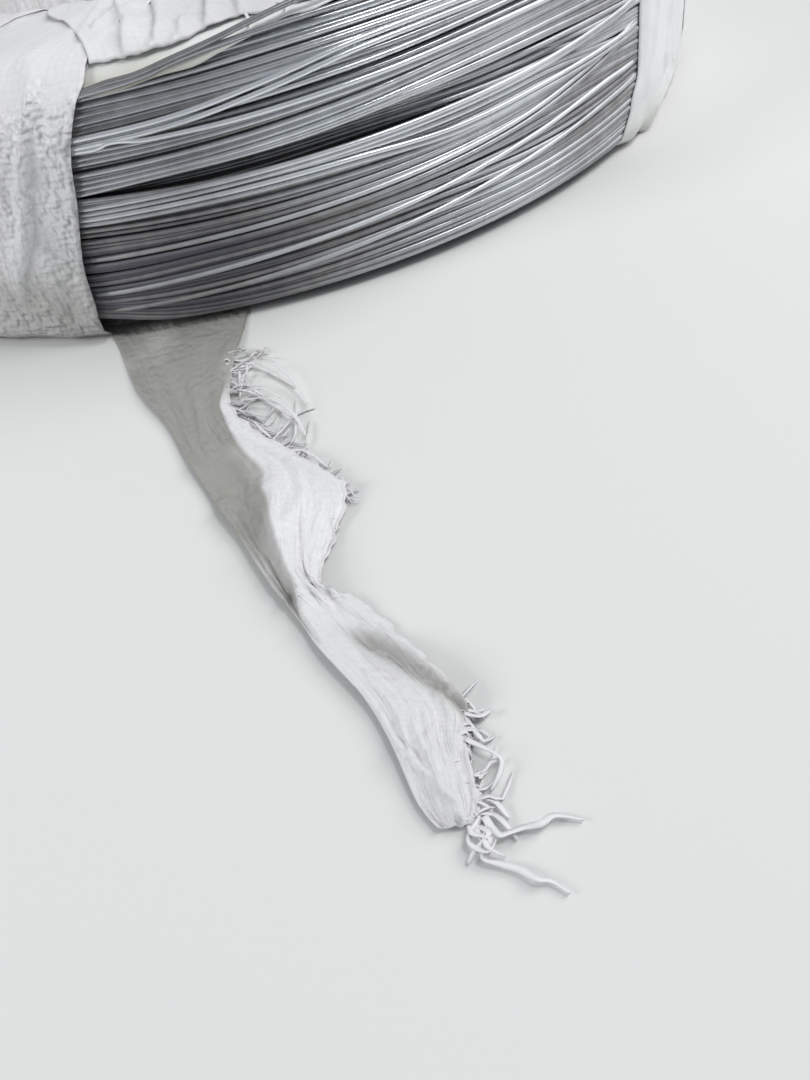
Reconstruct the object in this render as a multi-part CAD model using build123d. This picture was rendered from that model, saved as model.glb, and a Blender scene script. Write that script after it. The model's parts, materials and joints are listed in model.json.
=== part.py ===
from build123d import *
import os
from math import cos, sin, tan, degrees, radians

# A coil of galvanized binding wire in its packing: the wound bundle of wire, a film
# liner on it, a sleeve of woven strip over both, and the strip's torn-off loose end.
# Millimetres and degrees. The origin is the coil's centre: on the axis of its eye, at
# half its height. +Z is up along that axis, and -Y is the side where the sleeve is open.

# Wound bundle of wire
wire_d = 1.8
coil_outer_d = 460.0
coil_eye_d = 276.0
coil_height = 84.0
eye_corner_r = 22.0
outer_low_corner_r = 6.0
outer_high_corner_r = 22.0
corner_facets = 1
shown_corner_facets = 2

# Turns that show in the opening
turn_groove_pitch = 9.0
turn_groove_depth = 0.9

# Split between the lower and the upper turns where the bundle has sprung open
split_height = 50.0
split_mouth = 7.0
split_depth = 14.0

# Packing, from the wire outwards
film_t = 0.3
sleeve_t = 1.2
layer_gap = 0.3

# Turns of the strip, wound round the ring through its eye. Each turn's free edge shows as
# a shallow step: first the whole turns, then the ones cut open along the opening
strip_w = 90.0
whole_turns = 13
cut_turns = 5
lap_lean = -6.0
lap_groove_w = 2.4
lap_groove_depth = 0.6

# Opening torn in the sleeve: angles from +X, counted anticlockwise seen from above
open_left_az = -101.0
open_left_lean = -17.0
film_edge_az = -47.0
film_edge_lean = -14.0
open_right_az = -18.0
film_tuck = 6.0
sleeve_hem_in = 16.0
film_hem_in = 8.0

# Loose end of the strip, lying on the floor: how far each station lies out from the
# bundle's outer turns, how far along +X, and half the strip's width there
tail_t = 1.2
tail_stations = [
    (-30.0, -33.0, 31.0),
    (24.0, -27.0, 21.0),
    (55.0, -17.0, 19.0),
    (90.0, -4.0, 18.0),
    (130.0, 0.5, 9.5),
    (146.0, 4.0, 6.5),
    (175.0, 23.0, 8.5),
    (190.0, 29.0, 9.0),
    (204.0, 28.5, 5.0),
]

# Worked out from the sizes above
outer_r = coil_outer_d / 2
eye_r = coil_eye_d / 2
half_height = coil_height / 2
sleeve_gap = layer_gap + film_t + layer_gap
packing_t = sleeve_gap + sleeve_t
floor_z = -half_height - packing_t
reach = 2 * (coil_outer_d + coil_height)


def bundle_points(grow):
    """Corners of the bundle's section as (radius, height), moved outwards by grow."""
    corners = [
        (outer_r, -half_height, outer_low_corner_r, corner_facets),
        (outer_r, half_height, outer_high_corner_r, shown_corner_facets),
        (eye_r, half_height, eye_corner_r, corner_facets),
        (eye_r, -half_height, eye_corner_r, corner_facets),
    ]
    points = []
    for quarter, (edge_r, edge_z, round_r, facets) in enumerate(corners):
        r = edge_r + (round_r if edge_r == eye_r else -round_r)
        z = edge_z + (round_r if edge_z < 0 else -round_r)
        for k in range(facets + 1):
            turn = radians(90 * (quarter - 1) + 90 * k / facets)
            points.append((r + (round_r + grow) * cos(turn), z + (round_r + grow) * sin(turn)))
    return points


def section(points):
    """A face in the XZ plane from a list of (radius, height) corners."""
    return make_face(Polyline(*[(r, 0, z) for r, z in points], close=True))


def turned(face, start=0.0, arc=360.0):
    """The face turned about the coil's axis, from the azimuth start through arc."""
    return Rot(0, 0, start) * revolve(face, Axis.Z, revolution_arc=arc)


def side_of(az, lean, side):
    """Everything on one side of a cut across the bundle that leans from the axis."""
    align = (Align.CENTER, Align.MIN if side > 0 else Align.MAX, Align.CENTER)
    return Rot(0, 0, az) * Rot(lean, 0, 0) * Box(reach, reach, reach, align=align)


def opening(left, left_lean, right, right_lean, hem_in):
    """The outer side of the ring between two leaning cuts, between its two hems."""
    hem_r = outer_r - hem_in
    tall = half_height + 2 * packing_t
    band = section([(hem_r, -tall), (reach / 2, -tall), (reach / 2, tall), (hem_r, tall)])
    spare = abs(left_lean) + abs(right_lean)
    arc = turned(band, left - spare, right - left + 2 * spare)
    return arc & side_of(left, left_lean, 1) & side_of(right, right_lean, -1)


def groove(point, out, width, depth):
    """A V across the section's edge at point, cut square to the direction out."""
    along = Vector(-out.Z, 0, out.X) * (width / 2)
    lip = point + out * (depth / 4)
    foot = point - out * depth
    return make_face(Polyline(lip - along, lip + along, foot, close=True))


def turn_grooves():
    """Grooves between the turns that show in the opening, along the outer side."""
    outer_points = corner_facets + 1 + shown_corner_facets + 1
    edge = Polyline(*[(r, 0, z) for r, z in bundle_points(0)[:outer_points]])
    count = int(edge.length / turn_groove_pitch)
    grooves = []
    for k in range(1, count):
        place = k * turn_groove_pitch / edge.length
        way = edge.tangent_at(place)
        out = Vector(way.Z, 0, -way.X)
        point = edge.position_at(place)
        clear_of_split = abs(point.Z - (split_height - half_height)) > split_mouth
        if clear_of_split and point.X > outer_r - sleeve_hem_in:
            grooves.append(groove(point, out, turn_groove_pitch / 2, turn_groove_depth))
    return grooves


def split_section():
    """The wedge-shaped gap between the lower and the upper turns."""
    z = split_height - half_height
    mouth = outer_r + wire_d
    half = split_mouth / 2
    return section([(mouth, z - half), (mouth, z + half), (outer_r - split_depth, z)])


def wire_coil():
    """All the turns of the wire as one turned ring, grooved where they show."""
    ring = turned(section(bundle_points(0)))
    arc = film_edge_az - open_left_az
    for face in turn_grooves() + [split_section()]:
        ring -= turned(face, open_left_az, arc)
    return ring


def layer(inner, outer):
    """A closed skin round the bundle between two distances from it."""
    return turned(section(bundle_points(outer))) - turned(section(bundle_points(inner)))


def film_liner():
    """Film on the wire: a band at the opening's right end, and the hem along its top."""
    skin = layer(layer_gap, layer_gap + film_t)
    band = side_of(film_edge_az, film_edge_lean, 1) & side_of(open_right_az + film_tuck, 0, -1)
    hem_low, hem_high = outer_r - sleeve_hem_in - film_tuck, outer_r - film_hem_in
    tall = half_height + packing_t
    hem_face = section([(hem_low, 0), (hem_high, 0), (hem_high, tall), (hem_low, tall)])
    hem = turned(hem_face, open_left_az - film_tuck, film_edge_az - open_left_az + 2 * film_tuck)
    return (skin & band) + (skin & hem)


def lap_azimuths():
    """Where the free edges of the strip's turns lie round the ring."""
    whole_arc = 360 + open_left_az - degrees(strip_w / outer_r) - open_right_az
    cut_arc = open_right_az - open_left_az
    whole = [open_right_az + whole_arc * k / whole_turns for k in range(1, whole_turns + 1)]
    cut = [open_left_az + cut_arc * k / cut_turns for k in range(1, cut_turns)]
    return whole + cut


def lap_groove(az):
    """The shallow step beside one turn's free edge, all the way round the section."""
    align = (Align.MIN, Align.CENTER, Align.CENTER)
    slab = Rot(0, 0, az) * Rot(lap_lean, 0, 0) * Box(reach, lap_groove_w, reach, align=align)
    return layer(packing_t - lap_groove_depth, packing_t + lap_groove_depth) & slab


def woven_sleeve():
    """The wound strip of woven tape as one skin, with the opening on its outer side."""
    skin = layer(sleeve_gap, packing_t)
    for az in lap_azimuths():
        skin -= lap_groove(az)
    return skin - opening(open_left_az, open_left_lean, open_right_az, 0, sleeve_hem_in)


def strip_tail():
    """The strip's loose end, flat on the floor from under the sleeve's rounded edge."""
    left = [(x - w, -(outer_r + d), floor_z) for d, x, w in tail_stations]
    right = [(x + w, -(outer_r + d), floor_z) for d, x, w in tail_stations]
    edges = [
        Spline(*left),
        Line(left[-1], right[-1]),
        Spline(*right[::-1]),
        Line(right[0], left[0]),
    ]
    band = extrude(make_face(edges), tail_t)
    facet = 90 / corner_facets / 2
    flat_r = outer_r - outer_low_corner_r + packing_t * tan(radians(facet / 2))
    start_r = flat_r + (tail_t + layer_gap) / tan(radians(facet))
    return band - Cylinder(start_r, 2 * coil_height)


parts = {
    "wire_coil": wire_coil(),
    "film_liner": film_liner(),
    "woven_sleeve": woven_sleeve(),
    "strip_tail": strip_tail(),
}

os.makedirs("parts", exist_ok=True)
for name, shape in parts.items():
    export_step(shape, f"parts/{name}.step")
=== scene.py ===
import json
from math import acos, atan2, cos, degrees, hypot, pi, radians, sin, tau
from random import Random

import bmesh
import bpy
from mathutils import Matrix, Vector
from mathutils.noise import noise


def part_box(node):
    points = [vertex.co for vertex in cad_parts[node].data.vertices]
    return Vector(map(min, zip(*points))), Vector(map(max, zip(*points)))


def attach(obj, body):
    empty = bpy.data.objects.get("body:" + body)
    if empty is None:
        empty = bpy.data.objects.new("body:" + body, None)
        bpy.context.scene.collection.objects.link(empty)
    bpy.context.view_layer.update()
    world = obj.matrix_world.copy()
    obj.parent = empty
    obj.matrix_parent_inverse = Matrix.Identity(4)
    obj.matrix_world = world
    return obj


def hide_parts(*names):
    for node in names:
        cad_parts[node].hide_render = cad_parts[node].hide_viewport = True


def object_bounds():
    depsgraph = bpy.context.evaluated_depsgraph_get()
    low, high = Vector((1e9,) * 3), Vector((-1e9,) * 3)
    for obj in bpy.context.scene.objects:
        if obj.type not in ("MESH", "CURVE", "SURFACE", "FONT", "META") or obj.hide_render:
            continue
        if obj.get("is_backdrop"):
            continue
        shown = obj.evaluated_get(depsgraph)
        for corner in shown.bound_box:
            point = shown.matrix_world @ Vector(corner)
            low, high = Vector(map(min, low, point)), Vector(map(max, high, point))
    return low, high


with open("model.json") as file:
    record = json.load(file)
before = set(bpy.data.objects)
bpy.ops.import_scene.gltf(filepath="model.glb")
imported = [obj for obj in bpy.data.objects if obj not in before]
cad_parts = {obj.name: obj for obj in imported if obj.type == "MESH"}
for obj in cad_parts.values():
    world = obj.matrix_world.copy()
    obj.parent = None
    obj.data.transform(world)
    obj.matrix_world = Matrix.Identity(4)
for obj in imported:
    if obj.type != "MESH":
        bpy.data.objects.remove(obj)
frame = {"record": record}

cad_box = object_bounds()

# Heart of the wire bundle
# Most of the turns lie hidden in the middle of the ring, wound side by side from one
# long zinc-coated wire. Its outer side has a notch where the turns have sprung apart.
scene = bpy.context.scene
wire_d = 0.0018
low_corner, high_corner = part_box("wire_coil")
outer_r = high_corner.x
half_height = high_corner.z
eye_mount = next(m for m in frame["record"]["mounts"] if m["name"] == "eye")
floor_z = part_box("woven_sleeve")[0].z
packing_t = low_corner.z - floor_z
wire_eye_r = eye_mount["dims"]["r_mm"] / 1000 + packing_t


class Outline:
    """A rounded-box section of the ring, walked from the middle of its outer side upwards."""

    def __init__(self, inset, high_round, eye_round, low_round):
        side, top = 2 * (half_height - inset), outer_r - wire_eye_r - 2 * inset
        rounds = [high_round, eye_round, eye_round, low_round]
        flats = [
            side / 2 - high_round,
            top - high_round - eye_round,
            side - 2 * eye_round,
            top - eye_round - low_round,
            side / 2 - low_round,
        ]
        self.runs = []
        at, heading = Vector((outer_r - inset, 0)), pi / 2
        for k, flat in enumerate(flats):
            self.runs.append((flat, at.copy(), heading, 0.0))
            at += Vector((cos(heading), sin(heading))) * flat
            if k < 4:
                self.runs.append((rounds[k] * pi / 2, at.copy(), heading, rounds[k]))
                at += Vector((cos(heading) - sin(heading), sin(heading) + cos(heading))) * rounds[k]
                heading += pi / 2
        self.length = sum(run[0] for run in self.runs)

    def at(self, s, off=0.0):
        """(radius, height) at the distance s along the section, moved outwards by off."""
        s %= self.length
        for length, start, heading, bend in self.runs:
            if s <= length:
                break
            s -= length
        if bend:
            centre = start - Vector((sin(heading), -cos(heading))) * bend
            heading += s / bend
            point = centre + Vector((sin(heading), -cos(heading))) * bend
        else:
            point = start + Vector((cos(heading), sin(heading))) * s
        return point + Vector((sin(heading), -cos(heading))) * off

    def top_at(self, r):
        """The distance along the section where its upper face has the radius r."""
        flat, _, _, _ = self.runs[0]
        bend, start, _, turn_r = self.runs[1]
        centre_r = start.x - turn_r
        if r > centre_r:
            return flat + turn_r * acos(min((r - centre_r) / turn_r, 1.0))
        return flat + bend + centre_r - r


def smooth(low, high, x):
    """0 below low, 1 above high, with an even ease between them."""
    t = min(max((x - low) / (high - low), 0.0), 1.0)
    return t * t * (3 - 2 * t)


def hump(x, at, half):
    """A soft bump: 1 at its middle, and half as high at half on either side."""
    return 0.5 ** (((x - at) / half) ** 2)


class Look:
    """A material's nodes, with a short way to add each kind."""

    def __init__(self, name):
        self.material = bpy.data.materials.new(name)
        self.material.use_nodes = True
        self.nodes = self.material.node_tree.nodes
        self.shader = self.nodes["Principled BSDF"]

    def put(self, name, value, node=None):
        """Gives a socket of the node, or of the surface, a constant or another's output."""
        socket = (node or self.shader).inputs[name]
        if isinstance(value, bpy.types.NodeSocket):
            self.material.node_tree.links.new(value, socket)
        else:
            socket.default_value = value

    def add(self, kind, sockets):
        """A node of some kind, with the sockets that are named set."""
        node = self.nodes.new(kind)
        for name, value in sockets.items():
            self.put(name, value, node)
        return node

    def attribute(self, name):
        """The number that each point of the mesh carries under this name."""
        node = self.nodes.new("ShaderNodeAttribute")
        node.attribute_name = name
        return node.outputs["Fac"]

    def math(self, operation, *values):
        """A sum with numbers and with what other nodes give."""
        node = self.nodes.new("ShaderNodeMath")
        node.operation = operation
        for k, value in enumerate(values):
            self.put(k, value, node)
        return node.outputs[0]

    def between(self, value, low, high):
        """A value of 0 to 1 as one from low to high."""
        sockets = {"Value": value, "To Min": low, "To Max": high}
        return self.add("ShaderNodeMapRange", sockets).outputs["Result"]

    def texture(self, scale, vector=None, kind="ShaderNodeTexNoise", **settings):
        """Noise or another texture over the object, or over the vector that is given."""
        if vector is None:
            vector = self.nodes.new("ShaderNodeTexCoord").outputs["Object"]
        return self.add(kind, {"Vector": vector, "Scale": scale, **settings}).outputs["Fac"]

    def ramp(self, value, stops):
        """A colour for each value, from stops of (value, red, green, blue)."""
        node = self.nodes.new("ShaderNodeValToRGB")
        elements = node.color_ramp.elements
        for element, (place, *shade) in zip(elements, (stops[0], stops[-1])):
            element.position = place
            element.color = (*shade, 1)
        for place, *shade in stops[1:-1]:
            elements.new(place).color = (*shade, 1)
        self.put("Fac", value, node)
        return node.outputs["Color"]

    def mix(self, factor, a, b, kind="RGBA"):
        """a, turning into b as the factor grows."""
        node = self.nodes.new("ShaderNodeMix")
        node.data_type = kind
        for name, value in (("Factor", factor), ("A", a), ("B", b)):
            self.put(name, value, node)
        return node.outputs["Result"]

    def bump(self, height, distance, strength, under=None):
        """Relief from a height, laid over the relief under it."""
        sockets = {"Height": height, "Distance": distance, "Strength": strength}
        if under:
            sockets["Normal"] = under
        return self.add("ShaderNodeBump", sockets).outputs["Normal"]


def make_galvanized():
    """Zinc-coated steel: bright, faintly mottled, each turn a little lighter or darker, with painted shade
    and painted highlight carried in its tone.
    """
    look = Look("galvanized_wire")
    mottle = look.texture(220, Detail=3)
    tone = look.math("MULTIPLY_ADD", mottle, 0.30, look.attribute("tone"))
    colour = look.ramp(tone, [
        (0.05, 0.16, 0.16, 0.18),
        (0.30, 0.30, 0.295, 0.29),
        (0.50, 0.44, 0.445, 0.465),
        (0.72, 0.575, 0.59, 0.61),
        (1.0, 0.82, 0.84, 0.87),
    ])
    look.put("Base Color", colour)
    rub = look.attribute("rub")
    look.put("Roughness", look.math("MULTIPLY_ADD", rub, 0.32, look.between(tone, 0.25, 0.14)))
    look.put("Metallic", look.between(rub, 0.75, 0.45))
    return look.material


galvanized = make_galvanized()


def add_mesh(bm, name, material):
    """Makes a bmesh an object of the scene."""
    mesh = bpy.data.meshes.new(name)
    bm.to_mesh(mesh)
    bm.free()
    mesh.materials.append(material)
    thing = bpy.data.objects.new(name, mesh)
    scene.collection.objects.link(thing)
    return thing


def new_piece(bm, name, material, slot):
    """Makes a bmesh a smooth piece of the coil."""
    piece = add_mesh(bm, name, material)
    piece.data.shade_smooth()
    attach(piece, "root")
    return piece


def finish_wire(bm, name):
    """Makes a bmesh of wire a piece that stands for the coil's wire."""
    bmesh.ops.recalc_face_normals(bm, faces=bm.faces)
    piece = new_piece(bm, name, galvanized, "galvanized_wire")
    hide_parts("wire_coil")


gap_height = 0.0085
core_inset = 0.0042
notch_zone, notch_depth, notch_half = 0.012, 0.014, 0.0045
core_turns, core_turn_sides, core_steps = 84, 4, 120
# The hidden heart is painted dark: painted shade deep in the bundle
core_painted_shade = 0.12
core_outline = Outline(core_inset, 0.020, 0.020, 0.004)
bm = bmesh.new()
tone_of = bm.verts.layers.float.new("tone")
ring = bmesh.ops.create_circle(bm, segments=core_turns * core_turn_sides, radius=1.0)["verts"]
for k, v in enumerate(ring):
    share = k / len(ring)
    ridge = abs(cos(pi * core_turns * share))
    r, z = core_outline.at(share * core_outline.length, -0.4 * wire_d * (1 - ridge))
    if r > outer_r - notch_zone:
        r -= notch_depth * hump(z, gap_height, notch_half)
    v.co = (r, 0, z)
    v[tone_of] = core_painted_shade
bmesh.ops.spin(bm, geom=bm.verts[:] + bm.edges[:], cent=(0, 0, 0), axis=(0, 0, 1),
               angle=tau, steps=core_steps, use_merge=True, use_duplicate=False)
finish_wire(bm, "wire_heart")

# Turns that show in the opening
# Where the packing is open the turns have sprung into a lower and an upper part with a
# dark gap between. Each turn is the same loose wire, drifting a little up, down, in and
# out along the ring, and drawing in again where it passes under the packing.
turn_steps = 72
show_left, show_right = radians(-112), radians(-13)
turn_outline = Outline(wire_d / 2, 0.0211, 0.0211, 0.0040)

# How the turns run, as lines of (azimuth in degrees, height up the outer side in
# millimetres). The lower part hangs between the first and the last of its lines, and
# so does the upper part, with so many turns between each line and the next.
lower_lines = [
    [(-112, -33), (-104, -35), (-97, -40.2), (-90, -42.4), (-66, -42.8), (-45, -42.2), (-13, -40)],
    [(-112, -31), (-104, -33), (-97, -37.6), (-88, -38.8), (-62, -38.2), (-45, -36.4), (-13, -35)],
    [(-112, -28), (-100, -30.5), (-90, -30.2), (-74, -28.2), (-62, -28.8), (-45, -26.4), (-13, -26)],
    [(-112, -20), (-103, -22.3), (-92, -20), (-74, -19), (-58, -20.6), (-45, -18.2), (-13, -18)],
    [(-112, -15), (-103, -17.8), (-91, -16.4), (-76, -15), (-60, -12.4), (-45, -12.2), (-13, -12)],
    [(-112, -6), (-103, -6.8), (-90, -7.6), (-73, -6.9), (-59, -4.2), (-50, -5.8), (-45, -8), (-13, -8)],
    [(-112, 2), (-103, 0.5), (-79, -0.9), (-70, -2), (-58, -0.6), (-45, -3.2), (-13, -3)],
    [(-112, 6.6), (-103, 6), (-91, 4.3), (-76, 3.9), (-66, 5.2), (-60, 5.5), (-53, 2),
     (-45, -1.6), (-13, 0)],
]
lower_turns_between = (3, 7, 7, 3, 7, 4, 5)
upper_lines = [
    [(-112, 7.8), (-103, 8), (-95, 9.6), (-83, 10.9), (-73, 13.1), (-60, 14.1), (-51, 12.7),
     (-45, 11.2), (-13, 10)],
    [(-112, 11), (-100, 11.9), (-90, 13.3), (-78, 16.1), (-68, 19.3), (-58, 20.8), (-13, 20)],
    [(-112, 17), (-100, 17.9), (-91, 18.8), (-78, 20.8), (-66, 22.8), (-50, 23.6), (-13, 23)],
    [(-112, 20), (-101, 21), (-88, 20.8), (-76, 22.3), (-62, 24.4), (-13, 24)],
    [(-112, 22), (-101, 22.8), (-92, 24), (-76, 26), (-63, 27.9), (-45, 28), (-13, 27)],
    [(-112, 27), (-100, 28.8), (-90, 30.5), (-76, 31.8), (-60, 32.6), (-13, 31)],
    [(-112, 31), (-99, 32.8), (-89, 33.4), (-74, 35), (-13, 34)],
    [(-112, 34), (-98.5, 36.6), (-90, 38.3), (-82, 39.6), (-60, 40.4), (-13, 38)],
    [(-112, 44), (-80, 48), (-13, 46)],
]
upper_turns_between = (5, 4, 2, 1, 5, 3, 4, 5)


def curve(x, line):
    """A smooth curve through a line's (place, value) points, read at x."""
    last = len(line) - 2
    k = next((i for i in range(last + 1) if x <= line[i + 1][0]), last)
    (x0, y0), (x1, y1) = line[k], line[k + 1]
    xa, ya = line[k - 1] if k else line[k]
    xb, yb = line[k + 2] if k < last else line[k + 1]
    t = min(max((x - x0) / (x1 - x0), 0.0), 1.0)
    rise0 = (y1 - ya) / (x1 - xa) * (x1 - x0)
    rise1 = (yb - y0) / (xb - x0) * (x1 - x0)
    swing = (t - 1) * (t - 1) * t * rise0 + (t - 1) * t * t * rise1
    return y0 + (3 - 2 * t) * t * t * (y1 - y0) + swing


def level(az, line):
    """A line's value at an azimuth."""
    return curve(degrees(az), line)


# How far the tight film at the opening's right end pulls the bundle's outer side in
film_pull = 0.0036


def drawn_in(az):
    """How far the outer side is pulled in at an azimuth."""
    az = (az + pi) % tau - pi
    return film_pull * smooth(radians(-45), radians(-28), az) * smooth(radians(14), radians(-10), az)


def drift(seed, az, pace):
    """A slow wandering of one turn along the ring, between about -1 and 1."""
    return 1.6 * noise(Vector((seed * 7.31, az * pace, seed * 1.7)))


def lay_turns(name, paths, steps=turn_steps, sides=6):
    """One piece of many turns; each path gives (radius, height, tone) at an azimuth."""
    bm = bmesh.new()
    number_of = bm.verts.layers.int.new("turn")
    tone_of = bm.verts.layers.float.new("tone")
    rub_of = bm.verts.layers.float.new("rub")
    stand = Matrix.Rotation(pi / 2, 4, "X")
    across = Matrix.Rotation(show_left, 4, "Z") @ Matrix.Translation((outer_r, 0, 0)) @ stand
    for number in range(len(paths)):
        for v in bmesh.ops.create_circle(bm, segments=sides, radius=wire_d / 2, matrix=across)["verts"]:
            v[number_of] = number
    bmesh.ops.spin(bm, geom=bm.verts[:] + bm.edges[:], cent=(0, 0, 0), axis=(0, 0, 1),
                   angle=show_right - show_left, steps=steps, use_duplicate=False)
    places = {}
    for v in bm.verts:
        az = atan2(v.co.y, v.co.x)
        key = v[number_of], round(az, 4)
        if key not in places:
            places[key] = paths[v[number_of]](az)
        r, z, tone = places[key]
        r += hypot(v.co.x, v.co.y) - outer_r - drawn_in(az)
        low_left = smooth(0.010, -0.020, z) * smooth(radians(-62), radians(-88), az)
        v[rub_of] = max(low_left, smooth(radians(-78), radians(-52), az))
        v.co = (r * cos(az), r * sin(az), z + v.co.z)
        v[tone_of] = tone
    bmesh.ops.holes_fill(bm, edges=[e for e in bm.edges if e.is_boundary], sides=sides)
    finish_wire(bm, name)


def one_turn(seed, line_a, line_b, share, deep, brightness):
    """The path of one turn that runs a share of the way from one line to the next."""
    own_tone = brightness + 0.04 + 0.46 * noise(Vector((seed * 5.7, 2.2, 9.1)))
    stand = 0.0005 * (0.5 + noise(Vector((seed * 3.9, 7.0, 1.0))))

    def path(az):
        low, high = level(az, line_a), level(az, line_b)
        up = low + (high - low) * share + 0.40 * drift(seed, az, 1.2)
        # The turns lie more evenly towards the right, and there the turns further in are painted lighter:
        # painted light
        even = smooth(radians(-76), radians(-54), az)
        depth = max(deep, 0.0) * (1 - 0.6 * even) + min(deep, 0.0)
        depth += stand + 0.0004 * (1 + drift(seed + 0.5, az, 1.6)) * (1 - 0.4 * even)
        r, z = turn_outline.at(up / 1000, -depth)
        # Painted shade low on the left and a little at both ends, and a painted highlight through the middle
        az_deg = degrees(az)
        painted_shade_and_highlight = 0.50 * smooth(12, -20, up) * smooth(-60, -88, az_deg)
        painted_shade_and_highlight += 0.12 - 0.26 * smooth(-94, -80, az_deg) * smooth(-54, -66, az_deg)
        painted_shade_and_highlight += 0.12 * smooth(-66, -50, az_deg)
        lit = 120 * max(deep, 0.0) * even
        return r, z, own_tone - painted_shade_and_highlight + lit + 0.08 * drift(seed, az, 5.0)

    return path


# Every other turn lies this much further in, and a second layer lies behind them all
further_in, behind_depth = 0.00080, 0.0020


def part_paths(lines, counts, seed0, edge_lines):
    """All the turns of one part of the bundle, and the single ones along its edges."""
    paths = []
    for k, count in enumerate(counts):
        low, high = lines[k], lines[k + 1]
        for i in range(count):
            seed = seed0 + 40 * k + i
            deep = further_in * ((i + k) % 2)
            # Turns further in are painted darker: painted shade
            paths.append(one_turn(seed, low, high, (i + 0.5) / count, deep, 0.50 - 150 * deep))
        behind = count // 2 + 1
        for i in range(behind):
            seed = seed0 + 2000 + 40 * k + i
            # The layer behind is painted darker still: painted shade
            paths.append(one_turn(seed, low, high, (i + 0.5) / behind, behind_depth, 0.25))
    for line in edge_lines:
        paths.append(one_turn(seed0 + 3000 + len(paths), line, line, 0.0, -0.0001, 0.62))
    return paths


lower_edges = lower_lines[0], lower_lines[-1]
lay_turns("lower_turns", part_paths(lower_lines, lower_turns_between, 10, lower_edges))
lay_turns("upper_turns", part_paths(upper_lines, upper_turns_between, 5000, upper_lines[:1]))

# Turns that cross over the others
# Some turns lie on top of the rest at a slant, alone or two side by side. Each group is
# given as its line, how many turns it has, and how bright they are.
crossing_groups = [
    ([(-112, -28), (-97, -25.5), (-85, -23), (-74, -20.4), (-61, -15.4), (-52, -11.7),
      (-45, -12.4), (-13, -12)], 1, 0.95),
    ([(-112, 22), (-100, 23.4), (-92, 24.5), (-84, 27.9), (-77, 31.2), (-66, 32.6), (-13, 33)], 2, 0.80),
    ([(-112, -1), (-80, -0.6), (-70, -2.2), (-59, -0.8), (-45, -0.2), (-13, 1)], 2, 0.80),
    ([(-112, -34), (-92, -31.5), (-74, -26.9), (-58, -21.4), (-49, -18.6), (-13, -16)], 1, 0.75),
    ([(-112, 2), (-80, 3.9), (-66, 5.2), (-57, 6.8), (-50, 8.4), (-45, 9.4), (-13, 11)], 2, 0.60),
    ([(-112, -16), (-80, -13), (-64, -9.4), (-54, -4), (-45, 1), (-13, 4)], 2, 0.55),
]
crossing_pitch_mm, crossing_lift, crossing_sink = 1.75, 0.0010, 0.0022


def crossing_paths():
    """The crossing turns, each sinking in where it passes under the packing."""
    paths = []
    for group, (line, count, brightness) in enumerate(crossing_groups):
        for i in range(count):
            seed = 300 + group * 20 + i
            beside = crossing_pitch_mm * (i - (count - 1) / 2)
            shifted = [(az, up + beside) for az, up in line]
            path = one_turn(seed, shifted, shifted, 0.0, -crossing_lift, brightness)

            def sinking(az, path=path):
                r, z, tone = path(az)
                ends = smooth(-101, -106, degrees(az)) + smooth(-49, -43, degrees(az))
                return r - crossing_sink * ends, z, tone

            paths.append(sinking)
    return paths


lay_turns("crossing_turns", crossing_paths())

# Turns down in the gap
# A few turns have fallen between the two parts. They lie deep in the dark gap on the
# left, and come up between the parts towards the film.
gap_turns = 9
gap_depth, gap_climb = 0.0085, 0.0068
gap_low = [(-112, 0), (-103, 2.0), (-88, 2.5), (-74, 4.6), (-60, 4.6), (-45, 1.5), (-13, 0)]
gap_high = [(-112, 8), (-103, 8.5), (-88, 11), (-74, 12.0), (-60, 12.9), (-52, 12.4), (-45, 11), (-13, 9)]


def fallen_turn(i):
    """The path of one fallen turn, counted from the gap's lower edge to its upper one."""

    def path(az):
        fallen = max(smooth(8.4, 6.4, i), smooth(-72, -60, degrees(az)))
        own = max(0.60 + 0.40 * ((i * 2) % 5) / 4, smooth(-68, -54, degrees(az)))
        rise = smooth(-82, -62, degrees(az)) * own * fallen
        low, high = level(az, gap_low), level(az, gap_high)
        z = (low + (high - low) * i / (gap_turns - 1) + 0.4 * drift(700 + i, az, 1.3)) / 1000
        depth = gap_depth + 0.0010 * drift(720 + i, az, 1.5) - gap_climb * rise
        # Painted shade: the turns are painted dark deep in the gap and lighter as they come up
        return outer_r - depth, z, 0.20 + 0.30 * rise

    return path


lay_turns("gap_turns", [fallen_turn(i) for i in range(gap_turns)])

# Stray turns along the top
# Two turns have lifted off the bundle and lie across the packing's edge, and one turn
# low in the upper part has a small kink. The two are given by their radius and their
# height, each as a line of (azimuth in degrees, millimetres).
stray_steps = 180
stray_lines = [
    ([(-112, 222), (-98.3, 224.4), (-94, 224), (-90.9, 223.4), (-87.8, 222.2), (-84.5, 219.8), (-80.5, 217.4),
      (-66, 211), (-56, 213), (-47, 219), (-40, 216), (-13, 215)],
     [(-112, 32), (-98.3, 35.8), (-96.4, 36.9), (-94, 37.4), (-90.9, 39.4), (-87.8, 41.1), (-84.5, 42.9),
      (-80.5, 44.6), (-72, 46.2), (-62, 46), (-56, 45.4), (-51, 43.2), (-46, 39.2), (-40, 37), (-13, 36)]),
    ([(-112, 225), (-98.2, 225), (-93.7, 224), (-91, 222.7), (-87.9, 221.5), (-81.5, 219.7), (-70, 219),
      (-52, 220), (-45, 217), (-13, 215)],
     [(-112, 31), (-98.2, 35.2), (-93.7, 36.4), (-91, 38.2), (-87.9, 39.4), (-81.5, 40.4), (-70, 40.8),
      (-60, 39.4), (-13, 36)]),
]
kink_height = 0.0012


def lifted_turn(radii, heights, tone):
    """The path of a turn that has lifted off the bundle."""
    return lambda az: (level(az, radii) / 1000, level(az, heights) / 1000, tone)


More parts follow.
